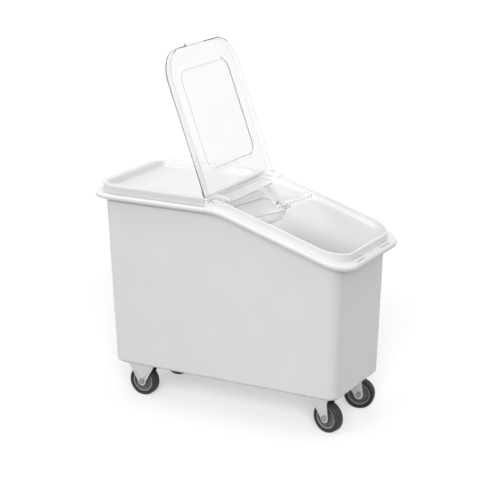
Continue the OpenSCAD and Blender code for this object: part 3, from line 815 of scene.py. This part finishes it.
def cover_shell():
    """The rear cover as one sheet: skirt, rounded edge, border and sunk panel, cut square at its front."""
    inner = COVER_ROUNDING - SHEET
    under = -RECESS_DEPTH - SHEET
    below = [
        (-RECESS_DRAFT, under),
        (-RECESS_DRAFT + SHEET, under + SHEET),
        (inner - COVER_UNDER_STEP, -SHEET - inner),
        (inner + COVER_UNDER_STEP, -SHEET - COVER_UNDER_STEP),
        (inner + COVER_UNDER_FLAT, -SHEET)]
    edge = RECESS_ROUNDING - RECESS_TOP_SHIFT
    foot = RECESS_ROUNDING - RECESS_DRAFT - RECESS_FOOT_SHIFT
    above = arc(edge, -RECESS_ROUNDING, RECESS_ROUNDING, 90, 90 + RECESS_TURN)
    above += arc(foot, RECESS_ROUNDING - RECESS_DEPTH, RECESS_ROUNDING, 270 + RECESS_TURN, 270)
    rings = [recess_ring(grow, up) for grow, up in below]
    rings += [cover_ring(inset, up) for inset, up in skirt_section(0.0, COVER_ROUNDING, COVER_SKIRT)]
    rings += [recess_ring(grow, up) for grow, up in above]
    work = bmesh.new()
    loft(work, rings)
    trim(work, (COVER_FRONT, 0, 0), (1, 0, 0))
    piece = solid(work, "rear_cover_shell", white_cover)
    round_edges(piece, END_BEVEL, END_BEVEL_ANGLE)
    even_normals(piece)
    take_part(piece, "top", "rear_cover")


# The lid

LID_PLACE = Matrix.Translation(HINGE) @ Matrix.Rotation(-LID_ANGLE, 4, "Y")


def on_lid(x, y, up):
    """Turns a place on the lid, with x along it from the hinge, into a place in the frame."""
    return LID_PLACE @ Vector((x, y, up))


def lid_ring(inset, up):
    """A ring round the lid's edge, which runs on past the place where the foot is cut."""
    behind = LID_FOOT - CUT_ALLOWANCE
    flat = corners(behind, LID_FRONT - inset, LID_HALF_WIDTH - inset, LEAST_RADIUS, LID_RADIUS - inset)
    return [on_lid(x, y, up) for x, y in flat]


def panel_ring(grow, up):
    radius = PANEL_RADIUS + grow
    flat = corners(PANEL_REAR - grow, PANEL_FRONT + grow, PANEL_HALF_WIDTH + grow, radius, radius)
    return [on_lid(x, y, up) for x, y in flat]


def lid_shell():
    """The lid as one sheet, with its finger tab and its two ears.

    The sheet runs from the panel that stands in, over the border and the rounded edge, to the skirt.
    The panel's foot, the bend inside the rounded edge and the free edge have the second material, a darker
    tint that paints the shade lines the clear sheet shows there.
    """
    plate = LID_OUTSIDE - SHEET
    panel_low = plate - PANEL_DEPTH
    panel_high = LID_OUTSIDE - PANEL_DEPTH
    below = [
        (SHEET - PANEL_SLOPE - PANEL_BEND, panel_low),
        (SHEET - PANEL_SLOPE, panel_low + PANEL_FOOT_UNDER),
        (SHEET - PANEL_BEND, plate - PANEL_BEND_DROP),
        (SHEET, plate - PANEL_BEND_START),
        (SHEET + PANEL_BEND, plate)]
    above = [
        (PANEL_BEND, LID_OUTSIDE),
        (0.0, LID_OUTSIDE - PANEL_BEND_START),
        (-PANEL_BEND, LID_OUTSIDE - PANEL_BEND_DROP),
        (-PANEL_SLOPE + PANEL_FOOT, panel_high + PANEL_FOOT),
        (-PANEL_SLOPE - PANEL_BEND, panel_high)]
    rings = [panel_ring(grow, up) for grow, up in below]
    rings += [lid_ring(inset, up) for inset, up in skirt_section(LID_OUTSIDE, LID_ROUNDING, LID_SKIRT)]
    rings += [panel_ring(grow, up) for grow, up in above]
    inner_bend = len(below)
    free_edge = inner_bend + EDGE_STEPS + 1
    # These rings take the darker edge material: painted shade lines along the lid's bends and free edge
    dark = {0, len(rings) - 2}
    dark.update(range(inner_bend, inner_bend + EDGE_STEPS))
    dark.update(range(free_edge, free_edge + 2 * END_STEPS + 1))
    work = bmesh.new()
    loft(work, rings, dark)
    trim(work, on_lid(LID_FOOT, 0, 0), on_lid(-1, 0, 0) - HINGE)
    piece = solid(work, "front_lid_shell", clear_plastic, clear_edge_shade)
    add_tab(piece)
    for side in (-1, 1):
        add_ear(piece, side * (LID_HALF_WIDTH - SHEET / 2))
    round_edges(piece, END_BEVEL, END_BEVEL_ANGLE)
    even_normals(piece)
    take_part(piece, "lid", "front_lid")


def add_tab(piece):
    """Joins the finger tab to the lid's free end."""
    rear = LID_FRONT - 2 * TAB_REACH
    flat = corners(rear, LID_FRONT + TAB_REACH, TAB_HALF_WIDTH, END_ROUNDING, TAB_REACH)
    middle = LID_OUTSIDE - SHEET / 2
    add_plate(piece, "tab", [[on_lid(x, y, middle + face) for x, y in flat] for face in SHEET_FACES])


def add_ear(piece, middle):
    """Joins an ear, which turns on the hinge pin, to a side of the lid."""
    flat = arc(0, 0, EAR_RADIUS, 90, 270, EAR_STEPS)
    flat += [(EAR_END, LID_OUTSIDE - LID_SKIRT), (EAR_END, LID_OUTSIDE), (LID_FOOT, LID_OUTSIDE)]
    add_plate(piece, "ear", [[on_lid(x, middle + face, up) for x, up in flat] for face in SHEET_FACES])


def add_plate(piece, name, faces):
    """Joins a plate, given as the outlines of its two faces, to the lid."""
    work = bmesh.new()
    loft(work, faces)
    join(piece, solid(work, name, clear_plastic))


# The wheel cores

def core_half(side):
    """One side of the core's section from the bore out: hub, dished web and the bead at the rim."""
    fillet = CORE_FILLET
    points = [(CORE_BORE, HUB_HALF - CORE_CHAMFER), (CORE_BORE + CORE_CHAMFER, HUB_HALF)]
    points += arc(HUB_RADIUS - fillet, HUB_HALF - fillet, fillet, 90, 0, CORE_STEPS)
    points += arc(HUB_RADIUS + fillet, WEB_HALF + fillet, fillet, 180, 270 - WEB_LEAN, CORE_STEPS)
    points += arc(RIM_IN - fillet, WAIST_HALF + fillet, fillet, 270 + WEB_LEAN, 360, CORE_STEPS)
    points += arc(RIM_IN + fillet, RIM_HALF - fillet, fillet, 180, 90, CORE_STEPS)
    points += arc(RIM_OUT - fillet, RIM_HALF - fillet, fillet, 90, 0, CORE_STEPS)
    return [(radius, side * along) for radius, along in points]


def wheel_core(wheel):
    """A moulded wheel core with a bead round its rim, whose lighter grey is a painted highlight."""
    low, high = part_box(wheel.replace("_wheel", "_tyre"))
    joint = next(joint for joint in frame["joints"] if joint["child"] == wheel)
    one = core_half(1)
    profile = one + list(reversed(core_half(-1)))
    bead_points = 2 * (CORE_STEPS + 1)
    # The bead's rings take the lighter material, a painted highlight
    bead_highlight_rings = range(len(one) - bead_points - 1, len(one) + bead_points)
    work = bmesh.new()
    spin(work, profile, (low + high) / 2, Vector(joint["axis"]).normalized(), bead_highlight_rings)
    piece = solid(work, wheel + "_core_shape", core_plastic, core_bead_highlight)
    even_normals(piece)
    take_part(piece, wheel, wheel + "_core")


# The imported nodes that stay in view

REPLACED = ("bin_body", "rear_cover", "front_lid") + tuple(wheel + "_core" for wheel in WHEELS)


def dress_node(node, obj):
    if node == "hinge_pins":
        dress(obj, white_cover, SMALL_BEVEL)
    # The strip and the scoop take a darker material on their bevels: painted shade lines
    elif node == "hinge_strip":
        dress(obj, strip_plastic, STRIP_BEVEL, edge=strip_edge_shade)
    elif node == "scoop":
        dress(obj, scoop_plastic, SCOOP_BEVEL, edge=scoop_edge_shade)
    elif node.endswith("tyre"):
        dress(obj, tyre_rubber)
    elif node.endswith(("axle_bolt", "axle_nut")):
        dress(obj, bolt_steel, SMALL_BEVEL)
    else:
        dress(obj, zinc, SMALL_BEVEL)


make_camera()
make_world()
floor = make_floor()
sun("key", azimuth=-20, elevation=24, strength=KEY_STRENGTH, spread=FRONT_SPREAD)
sun("fill", azimuth=31, elevation=24, strength=FILL_STRENGTH, spread=FRONT_SPREAD)
sun("back", azimuth=180, elevation=84, strength=BACK_STRENGTH, spread=BACK_SPREAD)
inside_lamp()
floor_sun(floor)

bin_shell()
cover_shell()
lid_shell()
for wheel in WHEELS:
    wheel_core(wheel)
for node, obj in nodes.items():
    if node not in REPLACED:
        dress_node(node, obj)
